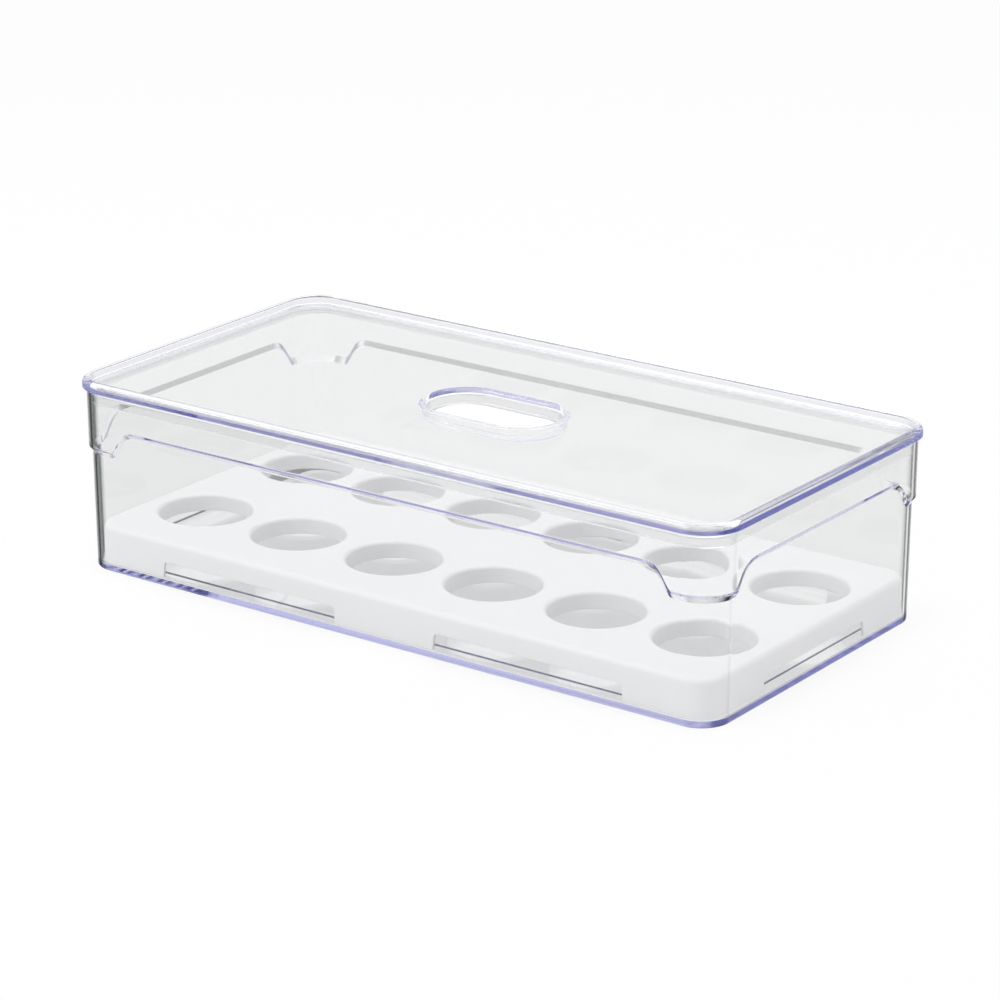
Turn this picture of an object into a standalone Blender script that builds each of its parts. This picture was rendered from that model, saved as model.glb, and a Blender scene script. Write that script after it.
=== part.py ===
"""Clear lidded keeper for a refrigerator shelf, with a lift-out tray of twelve round wells.

Three moulded pieces: a clear bin with a stepped wall, a clear lid with an oval finger
recess, and a white tray that stands on the bin's floor. X runs along the length, Y across
it and Z up, and the bin stands on Z = 0.
"""

import math

import bmesh
import bpy
from mathutils import Vector

# Outside of the keeper, measured over the lid's rim.
LENGTH = 0.3200
WIDTH = 0.1620
CORNER_RADIUS = 0.0173

# Bin: a floor, a plain lower wall and a wider band above it.
BIN_HEIGHT = 0.0780
BAND_HEIGHT = 0.0144
BIN_WALL = 0.0020
BIN_FLOOR = 0.0025
BIN_FOOT_INSET = 0.0039
BIN_WAIST_INSET = 0.0034
BAND_FOOT_INSET = 0.0019
BAND_TOP_INSET = 0.0017
BIN_FOOT_ROUND = 0.0012
BIN_FLOOR_ROUND = 0.0010
BIN_RIM_ROUND = 0.0004

# The step under the band: its own height, and how far it drops at the corners. Each drop
# is a curve from its start on a straight side to its end, both measured before the
# corner's arc, so the end on the short sides lies past the arc's start.
STEP_HEIGHT = 0.0017
STEP_INSIDE_LIFT = 0.0007
STEP_DROP = 0.0109
LONG_DROP_START = 0.0177
LONG_DROP_END = 0.0032
SHORT_DROP_START = 0.0145
SHORT_DROP_END = -0.0025
DROP_LAG = 1.6

# Lid: a raised rounded rim, a sunken panel and a skirt that drops inside the bin.
LID_GAP = 0.0003
RIM_HEIGHT = 0.0041
RIM_SHOULDER = 0.0025
RIM_CREST = 0.0006
RIM_INNER_ROUND = 0.0014
PANEL_DROP = 0.0034
PANEL_THICKNESS = 0.0020
SKIRT_GAP = 0.0005
SKIRT_WALL = 0.0016
SKIRT_DEPTH = 0.0056
SKIRT_ROUND = 0.0010
LID_EDGE = 0.0003

# Finger recess in the lid's panel: a rounded oval with a soft lip.
RECESS_LENGTH = 0.0610
RECESS_WIDTH = 0.0340
RECESS_CORNER = 0.0165
RECESS_DEPTH = 0.0063
RECESS_LIP = 0.0020
RECESS_DRAFT = 0.0004
RECESS_FLOOR_ROUND = 0.0012
RECESS_WALL = 0.0018

# Tray: a thin plate with a skirt all round it.
TRAY_GAP = 0.0003
TRAY_HEIGHT = 0.0162
TRAY_FOOT_INSET = 0.0068
TRAY_TOP_INSET = 0.0071
TRAY_WALL = 0.0018
TRAY_TOP_ROUND = 0.0025

# Wells: open rings with a soft lip and a short tapered collar under the plate.
WELL_COLUMNS = 6
WELL_ROWS = 2
WELL_PITCH = 0.0500
WELL_ROW_PITCH = 0.0680
WELL_RADIUS = 0.0200
WELL_LIP = 0.0020
WELL_COLLAR_DEPTH = 0.0070
WELL_COLLAR_TAPER = 0.0014
WELL_COLLAR_WALL = 0.0016
WELL_COLLAR_ROUND = 0.0018

# Pockets along the skirt's foot: two on each long side and one on each short side.
POCKET_DEPTH = 0.0037
POCKET_HEIGHT = 0.0070
POCKET_ROUND = 0.0010
POCKET_TAPER = 0.0008
LONG_POCKET_LENGTH = 0.0900
LONG_POCKET_OFFSET = 0.0695
SHORT_POCKET_LENGTH = 0.0740

# How far cutters and joined blocks run past or into the wall that they meet.
CUTTER_REACH = 0.0030
JOIN_REACH = 0.0006

# The least room between a curve's last point and the corner's arc, and between two points
# on a turned shape's axis.
MARK_CLEARANCE = 0.0004
AXIS_MERGE = 0.00002

# Steps of the curves.
CORNER_STEPS = 10
DROP_STEPS = 8
ROUND_STEPS = 3
SHOULDER_STEPS = 5
WELL_STEPS = 28

# Looks of the two plastics.
CLEAR_COLOUR = (0.90, 0.92, 0.95, 1.0)
CLEAR_ROUGHNESS = 0.05
WHITE_COLOUR = (0.93, 0.93, 0.92, 1.0)
WHITE_ROUGHNESS = 0.45

RIGHT_ANGLE = math.pi / 2
SHARP_ANGLE = math.radians(32)


def clear_scene():
    """Remove whatever the new file holds."""
    for thing in list(bpy.data.objects):
        bpy.data.objects.remove(thing)


def new_collection(name):
    """A collection linked to the scene."""
    collection = bpy.data.collections.new(name)
    bpy.context.scene.collection.children.link(collection)
    return collection


def new_plastic(name, colour, roughness):
    """A plain plastic."""
    plastic = bpy.data.materials.new(name)
    plastic.use_nodes = True
    shader = plastic.node_tree.nodes["Principled BSDF"]
    shader.inputs["Base Color"].default_value = colour
    shader.inputs["Roughness"].default_value = roughness
    shader.inputs["Metallic"].default_value = 0
    return plastic


def rounded_outline(half_x, half_y, radius, short_marks=(), long_marks=()):
    """Points of a rounded rectangle, anticlockwise, each with its way round the corner.

    Marks are points on the straight sides, as distances before the corner's arc. The way
    round is a pair: the distance past the arc's start from the short side, and that from
    the long side, each negative before the arc.
    """
    centre_x = half_x - radius
    centre_y = half_y - radius
    arc = RIGHT_ANGLE * radius
    quarter = [(half_x, centre_y - back, -back, arc + back) for back in short_marks]
    for step in range(CORNER_STEPS + 1):
        turn = RIGHT_ANGLE * step / CORNER_STEPS
        place = (centre_x + radius * math.cos(turn), centre_y + radius * math.sin(turn))
        quarter.append((*place, radius * turn, arc - radius * turn))
    quarter += [(centre_x - back, half_y, arc + back, -back) for back in reversed(long_marks)]
    points = []
    for sign_x, sign_y in ((1, 1), (-1, 1), (-1, -1), (1, -1)):
        run = quarter if sign_x == sign_y else quarter[::-1]
        points += [(sign_x * x, sign_y * y, past_short, past_long) for x, y, past_short, past_long in run]
    return points


def drop_marks(start, end):
    """Distances before a corner's arc of the points along a drop's curve."""
    ways = [start + (end - start) * step / DROP_STEPS for step in range(DROP_STEPS + 1)]
    return [way for way in ways if way > MARK_CLEARANCE]


def drop_share(past, start, end):
    """The share of the step's drop that is done at a distance past the arc's start."""
    along = min(max((past + start) / (start - end), 0), 1)
    return (1 - math.cos(math.pi * along ** DROP_LAG)) / 2


def body_ring(inset, level, marks=((), ()), corner_drop=0):
    """A ring of the keeper's outline, set in from the lid's rim and lowered at the corners."""
    outline = rounded_outline(LENGTH / 2 - inset, WIDTH / 2 - inset, CORNER_RADIUS - inset, *marks)
    ring = []
    for x, y, past_short, past_long in outline:
        share = min(
            drop_share(past_short, SHORT_DROP_START, SHORT_DROP_END),
            drop_share(past_long, LONG_DROP_START, LONG_DROP_END),
        )
        ring.append((x, y, level - corner_drop * share))
    return ring


def recess_ring(grow, level):
    """A ring of the lid's oval, grown from the recess's inner wall."""
    half_x = RECESS_LENGTH / 2 + grow
    half_y = RECESS_WIDTH / 2 + grow
    return [(x, y, level) for x, y, *way in rounded_outline(half_x, half_y, RECESS_CORNER + grow)]


def rounding(steps):
    """Sine and versine of the steps of a quarter turn, which starts in line with a wall."""
    turns = [RIGHT_ANGLE * step / steps for step in range(steps + 1)]
    return [(math.sin(turn), 1 - math.cos(turn)) for turn in turns]


def loft(name, rings, plastic, collection, pivot_level=0):
    """A closed solid through a chain of rings, capped at both ends and turned on its pivot."""
    mesh = bmesh.new()
    pivot = Vector((0, 0, pivot_level))
    chain = [[Vector(point) - pivot for point in ring] for ring in rings]
    first = mesh.faces.new([mesh.verts.new(point) for point in chain[0]])
    rim = list(first.edges)
    for ring, following in zip(chain, chain[1:]):
        places = {tuple(point): after for point, after in zip(ring, following)}
        grown = bmesh.ops.extrude_edge_only(mesh, edges=rim)["geom"]
        fresh = {item for item in grown if isinstance(item, bmesh.types.BMVert)}
        sides = {item for item in grown if isinstance(item, bmesh.types.BMEdge)}
        rim = [side for side in sides if fresh.issuperset(side.verts)]
        for corner in fresh:
            corner.co = places[tuple(corner.co)]
    bmesh.ops.contextual_create(mesh, geom=rim)
    bmesh.ops.recalc_face_normals(mesh, faces=mesh.faces)
    data = bpy.data.meshes.new(name)
    mesh.to_mesh(data)
    mesh.free()
    solid = bpy.data.objects.new(name, data)
    solid.location = pivot
    data.materials.append(plastic)
    collection.objects.link(solid)
    return solid


def turned(name, profile, collection):
    """A solid turned about Z from a profile that runs down its outer side."""
    data = bpy.data.meshes.new(name)
    links = [(index, index + 1) for index in range(len(profile) - 1)]
    data.from_pydata([(radius, 0, level) for radius, level in profile], links, [])
    solid = bpy.data.objects.new(name, data)
    collection.objects.link(solid)
    screw = solid.modifiers.new("turn", "SCREW")
    screw.axis = "Z"
    screw.steps = WELL_STEPS
    screw.render_steps = WELL_STEPS
    screw.use_merge_vertices = True
    screw.merge_threshold = AXIS_MERGE
    screw.use_normal_calculate = True
    return solid


def block(name, low, high, collection, taper_axis=0, taper=0, soft=0):
    """A box between two corners, drawn in at the top along one axis and softened."""
    data = bpy.data.meshes.new(name)
    mesh = bmesh.new()
    for corner in bmesh.ops.create_cube(mesh)["verts"]:
        upper = [side > 0 for side in corner.co]
        corner.co = [top if above else foot for above, foot, top in zip(upper, low, high)]
        if upper[2]:
            corner.co[taper_axis] += -taper if upper[taper_axis] else taper
    mesh.to_mesh(data)
    mesh.free()
    solid = bpy.data.objects.new(name, data)
    collection.objects.link(solid)
    if soft > 0:
        bevel = solid.modifiers.new("soft edges", "BEVEL")
        bevel.width = soft
        bevel.segments = ROUND_STEPS
    return solid


def combine(solid, tools, operation):
    """Join or cut a solid with every object of a collection."""
    change = solid.modifiers.new(operation.lower(), "BOOLEAN")
    change.operation = operation
    change.operand_type = "COLLECTION"
    change.collection = tools
    change.solver = "EXACT"


def hide_tools(tools):
    """Show cutters and joined blocks as wires only."""
    for tool in tools.objects:
        tool.display_type = "WIRE"
        tool.hide_render = True


def soften(solid):
    """Smooth shading with sharp edges kept."""
    for face in solid.data.polygons:
        face.use_smooth = True
    solid.data.set_sharp_from_angle(angle=SHARP_ANGLE)


def build_bin(plastic, collection):
    """The clear bin: floor, lower wall, step, band and rim, with the same wall all round."""
    short_marks = drop_marks(SHORT_DROP_START, SHORT_DROP_END)
    long_marks = drop_marks(LONG_DROP_START, LONG_DROP_END)
    marks = (short_marks, long_marks)
    rings = []
    for sine, versine in reversed(rounding(ROUND_STEPS)):
        inset = BIN_FOOT_INSET + BIN_FOOT_ROUND * versine
        rings.append(body_ring(inset, BIN_FOOT_ROUND * (1 - sine), marks))
    step_top = BIN_HEIGHT - BAND_HEIGHT
    step_foot = step_top - STEP_HEIGHT
    rings.append(body_ring(BIN_WAIST_INSET, step_foot, marks, STEP_DROP))
    rings.append(body_ring(BAND_FOOT_INSET, step_top, marks, STEP_DROP))
    rim_low = BIN_HEIGHT - BIN_RIM_ROUND
    rings.append(body_ring(BAND_TOP_INSET, rim_low, marks))
    rings.append(body_ring(BAND_TOP_INSET + BIN_RIM_ROUND, BIN_HEIGHT, marks))
    rings.append(body_ring(BAND_TOP_INSET + BIN_WALL - BIN_RIM_ROUND, BIN_HEIGHT, marks))
    rings.append(body_ring(BAND_TOP_INSET + BIN_WALL, rim_low, marks))
    rings.append(body_ring(BAND_FOOT_INSET + BIN_WALL, step_top + STEP_INSIDE_LIFT, marks, STEP_DROP))
    rings.append(body_ring(BIN_WAIST_INSET + BIN_WALL, step_foot + STEP_INSIDE_LIFT, marks, STEP_DROP))
    for sine, versine in rounding(ROUND_STEPS):
        inset = BIN_FOOT_INSET + BIN_WALL + BIN_FLOOR_ROUND * versine
        rings.append(body_ring(inset, BIN_FLOOR + BIN_FLOOR_ROUND * (1 - sine), marks))
    return loft("bin", rings, plastic, collection)


def build_lid(plastic, collection):
    """The clear lid: recess, panel, skirt and raised rim, as one chain of rings."""
    flange_level = BIN_HEIGHT + LID_GAP
    crest_level = flange_level + RIM_HEIGHT
    panel_level = crest_level - PANEL_DROP
    underside = panel_level - PANEL_THICKNESS
    recess_floor = panel_level - RECESS_DEPTH
    recess_foot = recess_floor - RECESS_WALL
    skirt_outer = BAND_TOP_INSET + BIN_WALL + SKIRT_GAP
    skirt_inner = skirt_outer + SKIRT_WALL
    skirt_foot = flange_level - SKIRT_DEPTH
    rings = []

    # Outside of the recess's cup, from its foot up to the panel's underside.
    for sine, versine in reversed(rounding(ROUND_STEPS)):
        grow = RECESS_WALL - RECESS_DRAFT - RECESS_FLOOR_ROUND * versine
        rings.append(recess_ring(grow, recess_foot + RECESS_FLOOR_ROUND * (1 - sine)))
    rings.append(recess_ring(RECESS_WALL, underside - RECESS_FLOOR_ROUND))
    rings.append(recess_ring(RECESS_WALL + RECESS_FLOOR_ROUND, underside))

    # Skirt, from its root inside to its root outside.
    rings.append(body_ring(skirt_inner + SKIRT_ROUND, underside))
    rings.append(body_ring(skirt_inner, underside - SKIRT_ROUND))
    rings.append(body_ring(skirt_inner, skirt_foot + LID_EDGE))
    rings.append(body_ring(skirt_inner - LID_EDGE, skirt_foot))
    rings.append(body_ring(skirt_outer + LID_EDGE, skirt_foot))
    rings.append(body_ring(skirt_outer, skirt_foot + LID_EDGE))
    rings.append(body_ring(skirt_outer, flange_level))

    # Rim: flat underside, short upright face, round shoulder, crest and inner slope.
    rings.append(body_ring(LID_EDGE, flange_level))
    rings.append(body_ring(0, flange_level + LID_EDGE))
    shoulder_low = crest_level - RIM_SHOULDER
    for sine, versine in rounding(SHOULDER_STEPS):
        rings.append(body_ring(RIM_SHOULDER * versine, shoulder_low + RIM_SHOULDER * sine))
    crest = RIM_SHOULDER + RIM_CREST
    for sine, versine in rounding(ROUND_STEPS):
        rings.append(body_ring(crest + RIM_INNER_ROUND * sine, crest_level - RIM_INNER_ROUND * versine))
    bottom = crest + RIM_INNER_ROUND
    for sine, versine in rounding(ROUND_STEPS):
        inset = bottom + RIM_INNER_ROUND * versine
        rings.append(body_ring(inset, panel_level + RIM_INNER_ROUND * (1 - sine)))

    # Recess: soft lip, drafted wall, rounded foot and flat floor.
    for sine, versine in rounding(ROUND_STEPS):
        rings.append(recess_ring(RECESS_LIP * (1 - sine), panel_level - RECESS_LIP * versine))
    for sine, versine in rounding(ROUND_STEPS):
        grow = -RECESS_DRAFT - RECESS_FLOOR_ROUND * versine
        rings.append(recess_ring(grow, recess_floor + RECESS_FLOOR_ROUND * (1 - sine)))
    return loft("lid", rings, plastic, collection, flange_level)


def well_places():
    """Centres of the wells, column by column."""
    first_x = -WELL_PITCH * (WELL_COLUMNS - 1) / 2
    first_y = -WELL_ROW_PITCH * (WELL_ROWS - 1) / 2
    for column in range(WELL_COLUMNS):
        for row in range(WELL_ROWS):
            yield first_x + WELL_PITCH * column, first_y + WELL_ROW_PITCH * row


def add_wells(joined, cutters):
    """Solid collars to join under the plate, and the turned shapes that open them."""
    top = BIN_FLOOR + TRAY_GAP + TRAY_HEIGHT
    collar_foot = top - WELL_COLLAR_DEPTH
    throat = top - WELL_LIP
    underside = top - TRAY_WALL
    narrow = WELL_RADIUS - WELL_COLLAR_TAPER
    collar_root = WELL_RADIUS + WELL_COLLAR_WALL
    collar = [
        (0, underside + JOIN_REACH),
        (collar_root + WELL_COLLAR_ROUND, underside + JOIN_REACH),
        (collar_root + WELL_COLLAR_ROUND, underside),
        (collar_root, underside - WELL_COLLAR_ROUND),
        (narrow + WELL_COLLAR_WALL, collar_foot),
        (0, collar_foot),
    ]
    opening = [(0, top + CUTTER_REACH), (WELL_RADIUS + WELL_LIP, top + CUTTER_REACH)]
    for sine, versine in rounding(ROUND_STEPS):
        opening.append((WELL_RADIUS + WELL_LIP * (1 - sine), throat + WELL_LIP * (1 - versine)))
    reach_share = (throat - collar_foot + CUTTER_REACH) / (throat - collar_foot)
    opening.append((WELL_RADIUS - WELL_COLLAR_TAPER * reach_share, collar_foot - CUTTER_REACH))
    opening.append((0, collar_foot - CUTTER_REACH))
    for number, (x, y) in enumerate(well_places(), start=1):
        turned(f"collar_{number}", collar, joined).location = (x, y, 0)
        turned(f"well_{number}", opening, cutters).location = (x, y, 0)


def add_pocket(name, centre, along_x, side, length, joined, cutters):
    """A pocket in the skirt's foot: a block that backs it and the cutter that opens it."""
    foot = BIN_FLOOR + TRAY_GAP
    half_across = WIDTH / 2 if along_x else LENGTH / 2
    skirt = half_across - TRAY_FOOT_INSET
    back = skirt - POCKET_DEPTH
    spans = {
        "cutter": (length / 2, back, skirt + CUTTER_REACH, foot - CUTTER_REACH, foot + POCKET_HEIGHT),
        "block": (length / 2 + TRAY_WALL, back - TRAY_WALL, skirt - TRAY_WALL + JOIN_REACH,
                  foot, foot + POCKET_HEIGHT + TRAY_WALL),
    }
    for kind, (half, inner, outer, low, high) in spans.items():
        across = sorted((side * inner, side * outer))
        along = (centre - half, centre + half)
        first, second = (along, across) if along_x else (across, along)
        corner_low = (first[0], second[0], low)
        corner_high = (first[1], second[1], high)
        if kind == "cutter":
            axis = 0 if along_x else 1
            block(f"{name}_{kind}", corner_low, corner_high, cutters, axis, POCKET_TAPER, POCKET_ROUND)
        else:
            block(f"{name}_{kind}", corner_low, corner_high, joined)


def add_pockets(joined, cutters):
    """The six pockets."""
    for side in (-1, 1):
        for end in (-1, 1):
            name = f"pocket_long_{side}_{end}"
            add_pocket(name, end * LONG_POCKET_OFFSET, True, side, LONG_POCKET_LENGTH, joined, cutters)
        add_pocket(f"pocket_short_{side}", 0, False, side, SHORT_POCKET_LENGTH, joined, cutters)


def build_tray(plastic, collection):
    """The white tray: plate and skirt as one shell, then collars, pockets and wells."""
    foot = BIN_FLOOR + TRAY_GAP
    rings = []
    round_low = foot + TRAY_HEIGHT - TRAY_TOP_ROUND
    for sine, versine in reversed(rounding(SHOULDER_STEPS)):
        inset = TRAY_TOP_INSET + TRAY_TOP_ROUND * versine
        rings.append(body_ring(inset, round_low + TRAY_TOP_ROUND * sine))
    rings.append(body_ring(TRAY_FOOT_INSET, foot))
    rings.append(body_ring(TRAY_FOOT_INSET + TRAY_WALL, foot))
    inner_round = TRAY_TOP_ROUND - TRAY_WALL
    for sine, versine in rounding(ROUND_STEPS):
        inset = TRAY_TOP_INSET + TRAY_WALL + inner_round * versine
        rings.append(body_ring(inset, round_low + inner_round * sine))
    tray = loft("egg_tray", rings, plastic, collection)
    joined = new_collection("tray joined blocks")
    cutters = new_collection("tray cutters")
    add_wells(joined, cutters)
    add_pockets(joined, cutters)
    combine(tray, joined, "UNION")
    combine(tray, cutters, "DIFFERENCE")
    hide_tools(joined)
    hide_tools(cutters)
    return tray


clear_scene()
keeper = new_collection("egg_keeper")
clear_bin = new_plastic("bin clear plastic", CLEAR_COLOUR, CLEAR_ROUGHNESS)
clear_lid = new_plastic("lid clear plastic", CLEAR_COLOUR, CLEAR_ROUGHNESS)
white_tray = new_plastic("tray white plastic", WHITE_COLOUR, WHITE_ROUGHNESS)
for piece in (build_bin(clear_bin, keeper), build_lid(clear_lid, keeper), build_tray(white_tray, keeper)):
    soften(piece)
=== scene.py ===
"""Looks of a clear lidded keeper for a refrigerator shelf, with a lift-out tray of wells."""

import math

import bmesh
import bpy
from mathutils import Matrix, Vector


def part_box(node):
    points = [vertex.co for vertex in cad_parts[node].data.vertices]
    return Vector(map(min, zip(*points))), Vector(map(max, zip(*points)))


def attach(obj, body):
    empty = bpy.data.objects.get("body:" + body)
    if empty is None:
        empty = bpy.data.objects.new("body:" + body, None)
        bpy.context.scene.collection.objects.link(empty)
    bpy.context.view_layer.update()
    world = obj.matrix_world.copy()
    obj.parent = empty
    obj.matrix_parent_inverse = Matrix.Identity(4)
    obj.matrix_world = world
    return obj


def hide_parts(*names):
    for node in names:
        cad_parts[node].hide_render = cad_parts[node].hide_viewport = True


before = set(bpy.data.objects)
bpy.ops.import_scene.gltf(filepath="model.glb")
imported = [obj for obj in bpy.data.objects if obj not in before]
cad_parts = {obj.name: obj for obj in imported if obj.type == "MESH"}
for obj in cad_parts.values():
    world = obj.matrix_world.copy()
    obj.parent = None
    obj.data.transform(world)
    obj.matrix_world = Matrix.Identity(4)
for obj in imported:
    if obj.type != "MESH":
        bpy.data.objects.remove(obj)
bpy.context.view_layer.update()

# Bin: the open box that everything sits in, one thin moulding in clear styrene. Its wall
# steps outwards under the rim, and the step drops round each corner to stiffen it. It is
# drawn out ring by ring, down the outside, over the rim and down the inside.

bin_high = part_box("bin")[1]
BIN_WALL = 0.0015
BIN_FLOOR = 0.0025
BIN_HEIGHT = bin_high[2]
BIN_TOP_X, BIN_TOP_Y = bin_high[0], bin_high[1]
BIN_TOP_RADIUS = 0.0156
FOOT_INSET = 0.0022
WAIST_INSET = 0.0017
BAND_INSET = 0.0002
STEP_LEVEL = BIN_HEIGHT - 0.0150
STEP_HEIGHT = 0.0018
STEP_INSIDE_LIFT = 0.0007
STEP_DROP = 0.0106
BAND_DROP = 0.0100

# The drop's start and end before the corner's arc, on the long and on the short sides. Its
# curve is a half wave, which the lag above 1 makes start more slowly than it ends.
LONG_DROP = (0.0195, 0.0045)
SHORT_DROP = (0.0170, 0.0005)
DROP_LAG = 2.1
DROP_STEPS = 18
CORE_X = BIN_TOP_X - BIN_TOP_RADIUS
CORE_Y = BIN_TOP_Y - BIN_TOP_RADIUS
CORNER_STEPS = 48

# The roundings of the foot, the step, the rim's edges and the floor, whose middle is raised
# a little.
FOOT_ROUND = 0.0012
STEP_ROUND = 0.0005
RIM_ROUND = 0.0004
FLOOR_ROUND = 0.0010
FLOOR_STEP_INSET = 0.0104
FLOOR_STEP = 0.0005
FLOOR_STEP_ROUND = 0.0001
FLOOR_RUN = 0.0040

# A flat starts with a strip of its own and a rounding ends with a very thin one, so that
# neither is shaded as a part of the other.
FLAT = 0.0060
HOLD = 0.0002


class Skin:
    """A closed moulding drawn out ring by ring from a flat plate with round corners.

    The core is the rectangle through the corners' centres. Every ring keeps to it, and is
    given by its radius round the core's corners and by its level.
    """

    def __init__(self, core, radius, level, marks_x=(), marks_y=()):
        self.mesh = bmesh.new()
        self.core = core
        bmesh.ops.create_grid(self.mesh, x_segments=1, y_segments=1, size=1)
        for corner in self.mesh.verts:
            corner.co.x *= core[0] + radius
            corner.co.y *= core[1] + radius
            corner.co.z = level
        bmesh.ops.bevel(
            self.mesh, geom=self.mesh.verts[:], offset=radius, offset_type="OFFSET",
            segments=CORNER_STEPS, profile=0.5, affect="VERTICES", material=-1,
        )
        for axis, marks in ((0, marks_x), (1, marks_y)):
            self.mark_sides(axis, marks)
        self.cap = self.mesh.faces[:][0]

    def mark_sides(self, axis, marks):
        """Extra corners on the two sides along an axis, at both ends, before the arcs."""
        if not marks:
            return
        places = sorted(sign * (self.core[axis] - back) for sign in (-1, 1) for back in marks)
        reach = self.core[axis]
        nearly_full = 1.9 * reach
        sides = [
            side for side in self.mesh.edges
            if abs(side.verts[0].co[axis] - side.verts[1].co[axis]) > nearly_full
        ]
        for side in sides:
            made = bmesh.ops.subdivide_edges(self.mesh, edges=[side], cuts=len(places))
            fresh = [item for item in made["geom_inner"] if isinstance(item, bmesh.types.BMVert)]
            fresh.sort(key=lambda corner: corner.co[axis])
            for corner, place in zip(fresh, places):
                corner.co[axis] = place

    def centre(self, corner):
        """The point of the core that is nearest to a corner."""
        x = min(max(corner.co.x, -self.core[0]), self.core[0])
        y = min(max(corner.co.y, -self.core[1]), self.core[1])
        return Vector((x, y))

    def ring(self, radius, level, drop=0, core=None):
        """Draw the cap out to a new ring, which may be round another core."""
        self.cap = bmesh.ops.extrude_discrete_faces(self.mesh, faces=[self.cap])["faces"][0]
        for corner in self.cap.verts:
            middle = self.centre(corner)
            way = (corner.co.xy - middle).normalized()
            share = drop_share(way, middle, radius) if drop else 0
            if core:
                middle = Vector([math.copysign(half, at) for half, at in zip(core, corner.co.xy)])
            corner.co = (*(middle + way * radius), level - drop * share)
        if core:
            self.core = core

    def finish(self, name, closed=True):
        """Make the object, smooth all over, with its normals outwards."""
        bmesh.ops.remove_doubles(self.mesh, verts=self.mesh.verts[:], dist=HOLD / 100)
        if closed:
            rims = [side for side in self.mesh.edges if side.is_boundary]
            bmesh.ops.holes_fill(self.mesh, edges=rims)
        bmesh.ops.recalc_face_normals(self.mesh, faces=self.mesh.faces[:])
        for face in self.mesh.faces:
            face.smooth = True
        data = bpy.data.meshes.new(name)
        self.mesh.to_mesh(data)
        self.mesh.free()
        piece = bpy.data.objects.new(name, data)
        bpy.context.scene.collection.objects.link(piece)
        return piece


def drop_share(way, middle, radius):
    """How much of the step's drop is done at a place on the outline, from 0 to 1."""
    turn = math.atan2(abs(way.y), abs(way.x))
    past_short = radius * turn - (CORE_Y - abs(middle.y))
    past_long = radius * (math.pi / 2 - turn) - (CORE_X - abs(middle.x))
    shares = []
    for past, (start, end) in ((past_short, SHORT_DROP), (past_long, LONG_DROP)):
        along = min(max((past + start) / (start - end), 0), 1)
        shares.append((1 - math.cos(math.pi * along ** DROP_LAG)) / 2)
    return min(shares)


def soft_profile(corners, steps=5):
    """Points (inset, level, drop) of a profile whose corners are (inset, level, round, drop).

    A held point on each side of a rounding keeps the shading of the flats flat.
    """
    points = [(corners[0][0], corners[0][1], corners[0][3])]
    for before, corner, after in zip(corners, corners[1:], corners[2:]):
        here = Vector(corner[:2])
        back = (Vector(before[:2]) - here).normalized()
        ahead = (Vector(after[:2]) - here).normalized()
        half = back.angle(ahead) / 2
        reach = corner[2] / math.tan(half)
        middle = here + (back + ahead).normalized() * corner[2] / math.sin(half)
        first = here + back * reach - middle
        last = here + ahead * reach - middle
        points.append((*(here + back * (reach + HOLD)), corner[3]))
        for step in range(steps + 1):
            spoke = first.slerp(last, step / steps).normalized() * corner[2]
            points.append((*(middle + spoke), corner[3]))
        points.append((*(here + ahead * (reach + HOLD)), corner[3]))
    points.append((corners[-1][0], corners[-1][1], corners[-1][3]))
    return points


bin_profile = soft_profile([
    (FOOT_INSET + FLAT, 0, 0, 0),
    (FOOT_INSET, 0, FOOT_ROUND, 0),
    (WAIST_INSET, STEP_LEVEL - STEP_HEIGHT, STEP_ROUND, STEP_DROP),
    (BAND_INSET, STEP_LEVEL, STEP_ROUND, BAND_DROP),
    (0, BIN_HEIGHT, RIM_ROUND, 0),
    (BIN_WALL, BIN_HEIGHT, RIM_ROUND, 0),
    (BAND_INSET + BIN_WALL, STEP_LEVEL + STEP_INSIDE_LIFT, STEP_ROUND, BAND_DROP),
    (WAIST_INSET + BIN_WALL, STEP_LEVEL - STEP_HEIGHT + STEP_INSIDE_LIFT, STEP_ROUND, STEP_DROP),
    (FOOT_INSET + BIN_WALL, BIN_FLOOR, FLOOR_ROUND, 0),
    (FLOOR_STEP_INSET, BIN_FLOOR, FLOOR_STEP_ROUND, 0),
    (FLOOR_STEP_INSET + FLOOR_STEP, BIN_FLOOR + FLOOR_STEP, FLOOR_STEP_ROUND, 0),
    (FLOOR_STEP_INSET + FLOOR_RUN, BIN_FLOOR + FLOOR_STEP, 0, 0),
])


def drop_marks(start, end):
    """Places before a corner's arc of the corners along the curve of the drop."""
    marks = [start + (end - start) * step / DROP_STEPS for step in range(DROP_STEPS + 1)]
    return [mark for mark in marks if mark > HOLD]


bin_skin = Skin(
    (CORE_X, CORE_Y), BIN_TOP_RADIUS - bin_profile[0][0], 0,
    drop_marks(*LONG_DROP), drop_marks(*SHORT_DROP),
)
for inset, level, drop in bin_profile[1:]:
    bin_skin.ring(BIN_TOP_RADIUS - inset, level, drop)
bin_piece = bin_skin.finish("bin_moulding")


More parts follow.
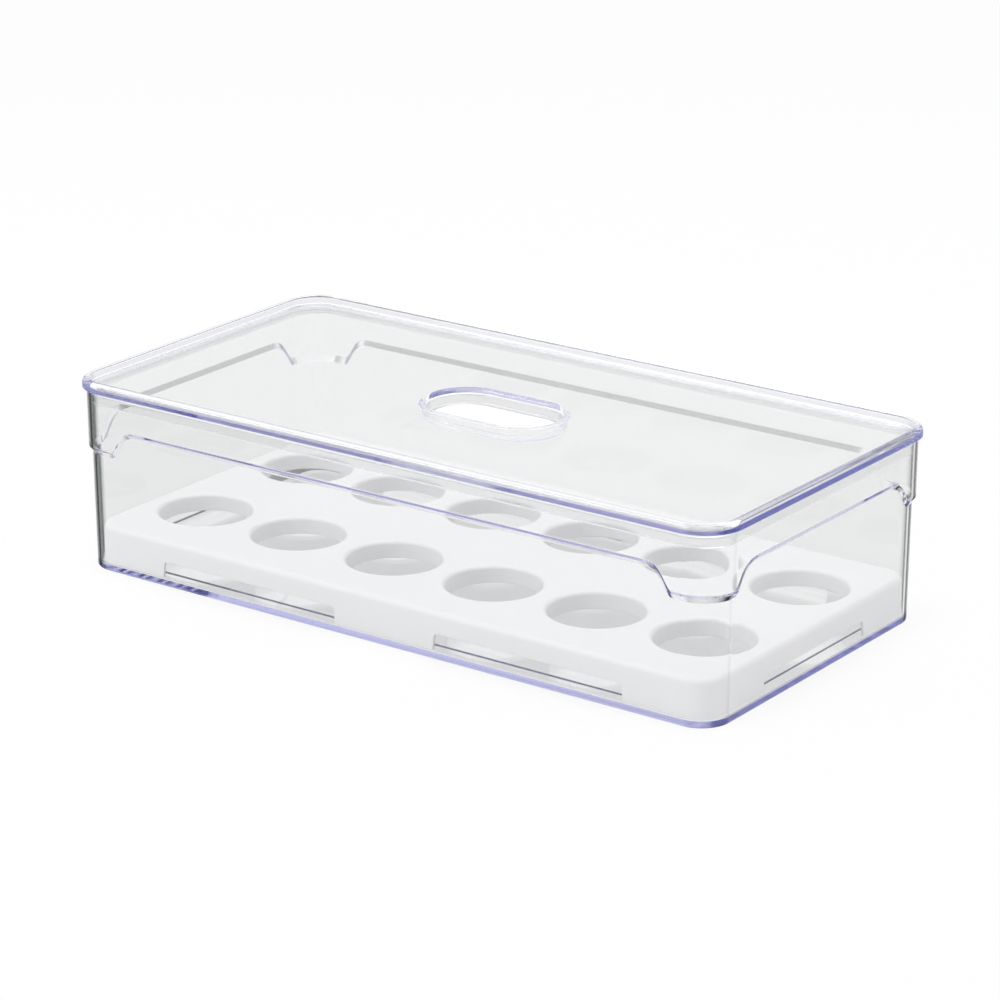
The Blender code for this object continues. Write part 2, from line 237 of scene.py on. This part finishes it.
class Value:
    """A shader socket that can stand in a sum."""

    def __init__(self, tree, socket):
        self.tree = tree
        self.socket = socket

    def combine(self, operation, first, second, held=False):
        """A Math node on two sockets or numbers, held between 0 and 1 if asked."""
        node = self.tree.nodes.new("ShaderNodeMath")
        node.operation = operation
        node.use_clamp = held
        for slot, term in enumerate((first, second)):
            if isinstance(term, Value):
                self.tree.links.new(term.socket, node.inputs[slot])
            else:
                node.inputs[slot].default_value = term
        return Value(self.tree, node.outputs[0])

    def size(self):
        """The value without its sign."""
        return self.combine("ABSOLUTE", self, 0)

    def ramp(self, start=0, end=1):
        """A share that runs from 0 where the value is at start to 1 where it is at end."""
        return self.combine("MULTIPLY", self - start, 1 / (end - start), held=True)

    def __add__(self, other):
        return self.combine("ADD", self, other)

    def __radd__(self, other):
        return self.combine("ADD", other, self)

    def __sub__(self, other):
        return self.combine("SUBTRACT", self, other)

    def __rsub__(self, other):
        return self.combine("SUBTRACT", other, self)

    def __mul__(self, other):
        return self.combine("MULTIPLY", self, other)

    def __rmul__(self, other):
        return self.combine("MULTIPLY", other, self)

    def __pow__(self, other):
        return self.combine("POWER", self, other)


class Finish:
    """A procedural material, built node by node."""

    def __init__(self, name):
        self.material = bpy.data.materials.new(name)
        self.material.use_nodes = True
        self.tree = self.material.node_tree
        self.shader = self.tree.nodes["Principled BSDF"]
        self.surface = Value(self.tree, self.shader.outputs[0])
        self.output = self.tree.nodes["Material Output"]

    def node(self, kind, settings=None, sockets=None, output=0):
        """Add a node with its settings, then its sockets' values or links."""
        node = self.tree.nodes.new(kind)
        for name, value in (settings or {}).items():
            setattr(node, name, value)
        self.feed(node, sockets or {})
        return Value(self.tree, node.outputs[output])

    def feed(self, node, sockets):
        """Give sockets, named or numbered, their values or links."""
        for name, value in sockets.items():
            if isinstance(value, Value):
                self.tree.links.new(value.socket, node.inputs[name])
            else:
                node.inputs[name].default_value = value

    def noise(self, scale, detail):
        """Noise in the object's own coordinates, with its scale per metre."""
        place = self.node("ShaderNodeTexCoord", output="Object")
        sockets = {"Vector": place, "Scale": scale, "Detail": detail, "Roughness": 0.5}
        return self.node("ShaderNodeTexNoise", sockets=sockets)

    def parts(self, vector, axes):
        """Parts of a vector, one for each of the letters of axes."""
        sockets = {"Vector": vector}
        return [self.node("ShaderNodeSeparateXYZ", sockets=sockets, output=axis) for axis in axes]

    def bump(self, strength, depth, height):
        """A normal that a height disturbs."""
        sockets = {"Strength": strength, "Distance": depth, "Height": height}
        return self.node("ShaderNodeBump", sockets=sockets)

    def mix(self, share, first, second):
        """A blend of two shaders."""
        return self.node("ShaderNodeMixShader", sockets={0: share, 1: first, 2: second})

    def plain(self, kind, colour):
        """A plain shader of one colour."""
        return self.node(kind, sockets={"Color": colour})

    def seen(self):
        """1 on the rays that show a thing to the camera, also through or off another thing."""
        rays = [
            self.node("ShaderNodeLightPath", output=f"Is {kind} Ray")
            for kind in ("Camera", "Transmission", "Glossy")
        ]
        return rays[0] + rays[1] + rays[2]


STYRENE = (0.889, 0.893, 0.889, 1)
STYRENE_DEPTH = (0.36, 0.37, 0.74, 1)
STYRENE_DENSITY = 7
PASSED_LIGHT = (0.99, 0.99, 0.995, 1)
# The white of the painted glare and highlights, and the share and soft edge of the painted glare.
GLARE_WHITE = (0.95, 0.95, 0.95, 1)
GLARE_SHARE = 0.85
GLARE_EDGE = 0.00067
# The soft edge of the painted shade line on the band, and the colour of the bin's painted shade lines.
BAND_SHADE_EDGE = 0.00025
BIN_EDGE_SHADE = (0.03, 0.045, 0.04, 1)


def clear_styrene(name, edge_shade, corner_shade, step_shade=0, band_shade=(0, 0), bend_highlight=0, glare_oval=(0, -1)):
    """Clear moulded plastic: polished, faintly wavy, blue-violet where it is seen edge on.

    Painted shade draws a dark line of the given colour where a clear edge turns from the eye,
    standing in for the shade where light can't pass it. The shares say how strong that painted
    shade is along the upright corners as they turn away, along a small step and, with the level
    it starts at, on the band round the outside. A bent step gets a painted highlight in white
    instead, and an oval, given by its half core and radius, gets painted glare in white.
    """
    finish = Finish(name)
    haze = finish.noise(60, 3)
    wave = finish.noise(9, 1)
    finish.feed(finish.shader, {
        "Base Color": STYRENE,
        "Transmission Weight": 1,
        "IOR": 1.52,
        "Roughness": 0.012 + haze * 0.02,
        "Normal": finish.bump(0.02, 0.001, wave),
    })

    # Where a ray meets the surface: how far that turns from the eye, whether the ray is
    # inside the plastic, the parts of the normal, and the place.
    turned = finish.node("ShaderNodeLayerWeight", sockets={"Blend": 0.5}, output="Facing")
    inside = finish.node("ShaderNodeNewGeometry", output="Backfacing")
    across, along, up = finish.parts(finish.node("ShaderNodeTexCoord", output="Normal"), "XYZ")
    x, y, z = finish.parts(finish.node("ShaderNodeTexCoord", output="Object"), "XYZ")

    # Masks of the walls: a corner's arc, a straight side, a slope, the outside, an upright.
    corner = (across * along).size()
    straight = corner.ramp(1 / 12, 0)
    slope = (up * (1 - up.size())).ramp(1 / 12, 1 / 6)
    outward = (across * x + along * y).ramp(0, 1 / 60)
    upright = up.size().ramp(0.5, 0.25)

    # The painted shade lines: down the upright corners, along a sloping step, and round the band.
    turning = turned.ramp(0.32, 0.5978)
    corner_shading = turning * turning * corner.ramp(0.06, 0.16) * turned.ramp(1, 0.6154) * corner_shade
    band_shading = outward * upright * z.ramp(band_shade[1], band_shade[1] + BAND_SHADE_EDGE) * band_shade[0]
    edge = ((corner_shading + slope * straight * step_shade + band_shading) * (1 - inside)).ramp()

    # Painted highlights in white: painted glare in the oval on a level floor, and the bright bends of
    # a step.
    past_core = (x.size() - glare_oval[0]).ramp()
    from_core = (past_core * past_core + y * y) ** 0.5
    painted_glare = from_core.ramp(glare_oval[1], glare_oval[1] - GLARE_EDGE) * up.ramp(0.88, 0.98)
    highlight_on_bends = slope * (1 - straight) * (1 - inside) * bend_highlight
    # Painted glare and painted highlights: a white diffuse takes the place of the clear plastic there.
    white = finish.plain("ShaderNodeBsdfDiffuse", GLARE_WHITE)
    highlighted = finish.mix((painted_glare * GLARE_SHARE + highlight_on_bends).ramp(), finish.surface, white)
    # Painted shade: a dark diffuse takes the place of the clear plastic along these lines.
    edge_shaded = finish.mix(edge, highlighted, finish.plain("ShaderNodeBsdfDiffuse", edge_shade))

    # Diffuse and shadow rays pass straight through, so the tray and the floor stay lit.
    passing = finish.plain("ShaderNodeBsdfTransparent", PASSED_LIGHT)
    lit = finish.mix(finish.node("ShaderNodeLightPath", output="Is Diffuse Ray"), edge_shaded, passing)
    mixed = finish.mix(finish.node("ShaderNodeLightPath", output="Is Shadow Ray"), lit, passing)
    depth = {"Color": STYRENE_DEPTH, "Density": STYRENE_DENSITY}
    volume = finish.node("ShaderNodeVolumeAbsorption", sockets=depth)
    finish.feed(finish.output, {"Surface": mixed, "Volume": volume})
    return finish.material


# The bin gets painted shade lines down its corners and along its step, and painted highlights on the
# step's bends.
bin_piece.data.materials.append(clear_styrene(
    "bin clear styrene", BIN_EDGE_SHADE, corner_shade=1, step_shade=0.62, bend_highlight=0.55,
))
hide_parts("bin")
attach(bin_piece, "bin")

# Lid: one clear moulding with a raised round rim, a sunken flat panel, an oval finger
# recess and a skirt that drops inside the bin. Its chain of rings runs from the recess's
# floor over the panel and rim, round the skirt and back to the recess's underside.

lid_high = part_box("lid")[1]
LID_CREST = lid_high[2]
FLANGE_LEVEL = BIN_HEIGHT + 0.0003
PANEL_LEVEL = LID_CREST - 0.0034
PANEL_UNDERSIDE = PANEL_LEVEL - 0.0024
SKIRT_FOOT = FLANGE_LEVEL - 0.0059
RIM_RADIUS = lid_high[0] - CORE_X
CREST_WIDTH = 0.0033
CREST_FOOT = 0.0036
CREST_ROUND = 0.0023
FLANGE_ROUND = 0.0003
SKIRT_OUTER = 0.0035
SKIRT_INNER = 0.0048
SKIRT_ROOT = 0.0002
SKIRT_ROUND = 0.0003
PANEL_MARGIN = 0.0080
UNDERSIDE_MARGIN = 0.0090
UNDERSIDE_ROUND = 0.0010
RECESS_FLOOR = PANEL_LEVEL - 0.0063
RECESS_FOOT = RECESS_FLOOR - 0.0018
RECESS_RADIUS = 0.0165
RECESS_CORE = (0.0305 - RECESS_RADIUS, 0.0170 - RECESS_RADIUS)
RECESS_RUN = 0.0040
RECESS_DRAFT = 0.0004
RECESS_ROUND = 0.0012
RECESS_LIP = 0.0018
RECESS_WALL = 0.0018
RECESS_FOOT_GROW = 0.0014
RECESS_FOOT_RUN = 0.0030
RECESS_UNDERSIDE_RUN = 0.0050
# The colour of the lid's painted shade lines.
LID_EDGE_SHADE = (0.05, 0.06, 0.3, 1)

lid_skin = Skin(RECESS_CORE, RECESS_RADIUS - RECESS_RUN, RECESS_FLOOR)
for grow, level, _ in soft_profile([
    (-RECESS_RUN, RECESS_FLOOR, 0, 0),
    (-RECESS_DRAFT, RECESS_FLOOR, RECESS_ROUND, 0),
    (0, PANEL_LEVEL, RECESS_LIP, 0),
    (RECESS_RUN, PANEL_LEVEL, 0, 0),
])[1:]:
    lid_skin.ring(RECESS_RADIUS + grow, level)
rim_profile = soft_profile([
    (PANEL_MARGIN, PANEL_LEVEL, 0, 0),
    (CREST_FOOT, PANEL_LEVEL, RIM_ROUND, 0),
    (CREST_WIDTH, LID_CREST, RIM_ROUND, 0),
    (0, LID_CREST, CREST_ROUND, 0),
    (0, FLANGE_LEVEL, FLANGE_ROUND, 0),
    (SKIRT_OUTER, FLANGE_LEVEL, SKIRT_ROOT, 0),
    (SKIRT_OUTER, SKIRT_FOOT, SKIRT_ROUND, 0),
    (SKIRT_INNER, SKIRT_FOOT, SKIRT_ROUND, 0),
    (SKIRT_INNER, PANEL_UNDERSIDE, UNDERSIDE_ROUND, 0),
    (UNDERSIDE_MARGIN, PANEL_UNDERSIDE, 0, 0),
])
for number, (inset, level, _) in enumerate(rim_profile):
    lid_skin.ring(RIM_RADIUS - inset, level, core=(CORE_X, CORE_Y) if number == 0 else None)
under_profile = soft_profile([
    (RECESS_UNDERSIDE_RUN, PANEL_UNDERSIDE, 0, 0),
    (RECESS_WALL, PANEL_UNDERSIDE, RECESS_ROUND, 0),
    (RECESS_FOOT_GROW, RECESS_FOOT, RECESS_ROUND, 0),
    (-RECESS_FOOT_RUN, RECESS_FOOT, 0, 0),
])
for number, (grow, level, _) in enumerate(under_profile):
    lid_skin.ring(RECESS_RADIUS + grow, level, core=RECESS_CORE if number == 0 else None)
lid_piece = lid_skin.finish("lid_moulding")
# The lid gets faint painted shade lines down its corners, a painted shade line round its band, and
# painted glare on the recess's oval floor.
lid_piece.data.materials.append(clear_styrene(
    "lid clear styrene", LID_EDGE_SHADE, corner_shade=0.1, band_shade=(0.28, FLANGE_LEVEL),
    glare_oval=(RECESS_CORE[0], RECESS_RADIUS - RECESS_ROUND),
))
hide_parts("lid")
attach(lid_piece, "lid")

# Tray: one thin moulding in white plastic that stands on the bin's floor. Twelve open wells
# with a soft lip and a short collar pass through its plate, and its skirt has a low opening
# on each short side and two on each long side, open at the foot.

tray_low, tray_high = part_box("egg_tray")
TRAY_FOOT = tray_low[2]
TRAY_TOP = tray_high[2]
TRAY_WALL = 0.0013
TRAY_ROUND = 0.0025
TRAY_RADIUS = tray_high[0] - CORE_X
TRAY_DRAFT = 0.0003
WELL_PITCH = 0.0500
WELL_ROW_PITCH = 0.0680
WELL_COLUMNS = 6
WELL_ROWS = 2
WELL_RADIUS = 0.0200
WELL_LIP = 0.0020
WELL_DEPTH = 0.0070
WELL_TAPER = 0.0014
WELL_STEPS = 64
TOUCH = HOLD / 10
SLOT_TOP = TRAY_FOOT + 0.0070
SLOT_ROUND = 0.0015
SLOT_TAPER = 0.0007
SLOT_TURNS = (0, 22.5, 45, 67.5, 90)
LONG_SLOTS = ((-0.1145, -0.0245), (0.0245, 0.1145))
SHORT_SLOTS = ((-0.0370, 0.0370),)

tray_skin = Skin((CORE_X, CORE_Y), TRAY_RADIUS, TRAY_FOOT)
for inset, level, _ in soft_profile([
    (0, TRAY_FOOT, 0, 0),
    (TRAY_DRAFT, TRAY_TOP, TRAY_ROUND, 0),
    (TRAY_DRAFT + TRAY_ROUND + FLAT, TRAY_TOP, 0, 0),
], steps=8)[1:-1]:
    tray_skin.ring(TRAY_RADIUS - inset, level)
tray_mesh = tray_skin.mesh
bmesh.ops.delete(tray_mesh, geom=[tray_skin.cap], context="FACES_ONLY")

well_profile = soft_profile([
    (WELL_RADIUS - WELL_TAPER, TRAY_TOP - WELL_DEPTH, 0, 0),
    (WELL_RADIUS, TRAY_TOP, WELL_LIP, 0),
    (WELL_RADIUS + WELL_LIP + FLAT, TRAY_TOP, 0, 0),
], steps=8)[:-1]
for column in range(WELL_COLUMNS):
    for row in range(WELL_ROWS):
        place = Vector((
            WELL_PITCH * (column - (WELL_COLUMNS - 1) / 2),
            WELL_ROW_PITCH * (row - (WELL_ROWS - 1) / 2),
            0,
        ))
        chain = [
            tray_mesh.verts.new(place + Vector((radius, 0, level)))
            for radius, level, _ in well_profile
        ]
        links = [tray_mesh.edges.new(pair) for pair in zip(chain, chain[1:])]
        bmesh.ops.spin(
            tray_mesh, geom=chain + links, cent=place, axis=(0, 0, 1), dvec=(0, 0, 0),
            angle=math.tau, steps=WELL_STEPS, use_merge=True,
        )
plate_rims = [
    edge for edge in tray_mesh.edges
    if edge.is_boundary and all(abs(corner.co.z - TRAY_TOP) < TOUCH for corner in edge.verts)
]
bmesh.ops.triangle_fill(tray_mesh, edges=plate_rims, use_beauty=True, use_dissolve=False)
bmesh.ops.recalc_face_normals(tray_mesh, faces=tray_mesh.faces[:])


def slot_inset(level):
    """How far in from its end at the foot a slot ends at a level."""
    past = level - (SLOT_TOP - SLOT_ROUND)
    draw = SLOT_TAPER * (level - TRAY_FOOT) / (SLOT_TOP - TRAY_FOOT)
    if past <= 0:
        return draw
    return draw + SLOT_ROUND - math.sqrt(max(SLOT_ROUND ** 2 - past ** 2, 0))


def cut_slots(axis, spans):
    """Open the foot of the two sides that run along an axis with low slots."""
    across = 1 - axis
    sides = [
        face for face in tray_mesh.faces
        if abs(face.normal[across]) > 0.99 and face.calc_center_median().z < TRAY_TOP - TRAY_ROUND
    ]
    levels = [SLOT_TOP - SLOT_ROUND * (1 - math.sin(math.radians(turn))) for turn in SLOT_TURNS]
    cuts = [(place, axis) for span in spans for place in span] + [(level, 2) for level in levels]
    for place, along in cuts:
        point = Vector((0, 0, 0))
        point[along] = place
        normal = Vector((0, 0, 0))
        normal[along] = 1
        geometry = list({item for face in sides for item in (face, *face.edges, *face.verts)})
        made = bmesh.ops.bisect_plane(tray_mesh, geom=geometry, plane_co=point, plane_no=normal)
        sides = [item for item in made["geom"] if isinstance(item, bmesh.types.BMFace)]
    for start, end in spans:
        opened = [
            face for face in sides
            if start < face.calc_center_median()[axis] < end and face.calc_center_median().z < SLOT_TOP
        ]
        for corner in {corner for face in opened for corner in face.verts}:
            for place, sign in ((start, 1), (end, -1)):
                if abs(corner.co[axis] - place) < TOUCH:
                    corner.co[axis] += sign * slot_inset(corner.co.z)
        bmesh.ops.delete(tray_mesh, geom=opened, context="FACES")
        sides = [face for face in sides if face.is_valid]


cut_slots(0, LONG_SLOTS)
cut_slots(1, SHORT_SLOTS)
tray_piece = tray_skin.finish("tray_moulding", closed=False)
wall = tray_piece.modifiers.new("wall", "SOLIDIFY")
wall.thickness = TRAY_WALL
wall.offset = -1
wall.use_even_offset = True
edges = tray_piece.modifiers.new("edges", "BEVEL")
edges.width = 0.0003
edges.segments = 2
edges.limit_method = "ANGLE"
edges.angle_limit = math.radians(40)
edges.harden_normals = True


def white_plastic(name):
    """White moulded plastic: satin, with a fine spark-eroded grain and faint shading."""
    finish = Finish(name)
    cloud = finish.noise(25, 2)
    grain = finish.noise(2600, 2)
    shades = {0: cloud, 6: (0.94, 0.94, 0.935, 1), 7: (0.96, 0.96, 0.955, 1)}
    finish.feed(finish.shader, {
        "Base Color": finish.node("ShaderNodeMix", {"data_type": "RGBA"}, shades, output=2),
        "Roughness": 0.40 + cloud * 0.12,
        "Normal": finish.bump(0.06, 0.0002, grain),
    })
    return finish.material


tray_piece.data.materials.append(white_plastic("tray white plastic"))
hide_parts("egg_tray")
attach(tray_piece, "tray")

# Stage: a plain white floor under a plain white sky, one soft lamp at the left and one
# overhead, and the camera at the photograph's angle. The floor and the sky show whiter to
# the camera, also through the clear plastic, than they light the keeper.

FLOOR_HALF = 6
FLOOR_LEVEL = -0.0002
FLOOR_LIFT = 0.78
SKY_LIGHT = 0.72
GUIDED_BOUNCES = 160

floor_mesh = bpy.data.meshes.new("floor")
floor_builder = bmesh.new()
bmesh.ops.create_grid(floor_builder, x_segments=1, y_segments=1, size=FLOOR_HALF)
bmesh.ops.translate(floor_builder, vec=(0, 0, FLOOR_LEVEL), verts=floor_builder.verts[:])
floor_builder.to_mesh(floor_mesh)
floor_builder.free()
floor = bpy.data.objects.new("floor", floor_mesh)
bpy.context.scene.collection.objects.link(floor)
paper = Finish("white floor")
paper.feed(paper.shader, {"Base Color": (0.9, 0.9, 0.9, 1), "Roughness": 0.9})
lift = paper.node("ShaderNodeEmission", sockets={"Color": (1, 1, 1, 1), "Strength": 1})
paper.feed(paper.output, {"Surface": paper.mix(paper.seen() * FLOOR_LIFT, paper.surface, lift)})
floor.data.materials.append(paper.material)

world = bpy.data.worlds.new("studio")
bpy.context.scene.world = world
world.use_nodes = True
sky = world.node_tree
background = sky.nodes["Background"]
background.inputs["Color"].default_value = (1, 1, 1, 1)
ray = sky.nodes.new("ShaderNodeLightPath")
shown = (
    Value(sky, ray.outputs["Is Camera Ray"])
    + Value(sky, ray.outputs["Is Transmission Ray"])
    + Value(sky, ray.outputs["Is Glossy Ray"])
)
strength = shown * (1 - SKY_LIGHT) + SKY_LIGHT
sky.links.new(strength.socket, background.inputs["Strength"])


def soft_lamp(name, place, size, power):
    """A square soft lamp turned to the keeper."""
    data = bpy.data.lights.new(name, "AREA")
    data.size = size
    data.energy = power
    lamp = bpy.data.objects.new(name, data)
    lamp.location = place
    lamp.rotation_euler = (-Vector(place)).to_track_quat("-Z", "Y").to_euler()
    bpy.context.scene.collection.objects.link(lamp)


soft_lamp("left lamp", place=(-1.2, -1.6, 1.8), size=1.2, power=16)
soft_lamp("top lamp", place=(0.2, 0.5, 2.2), size=1.5, power=14.5)

# The violet of the edges is light guided inside the walls, over very many bounces.
cycles = bpy.context.scene.cycles
cycles.max_bounces = GUIDED_BOUNCES
cycles.transmission_bounces = GUIDED_BOUNCES
cycles.glossy_bounces = GUIDED_BOUNCES

camera_data = bpy.data.cameras.new("camera")
camera_data.sensor_width = 36
camera_data.lens = 136.683
camera_data.clip_end = 20
camera = bpy.data.objects.new("camera", camera_data)
camera.location = (0.862201, -1.182712, 0.550525)
camera.rotation_euler = (math.radians(70.739), 0, math.radians(36.002))
bpy.context.scene.collection.objects.link(camera)
bpy.context.scene.camera = camera
bpy.context.scene.view_settings.view_transform = "Standard"
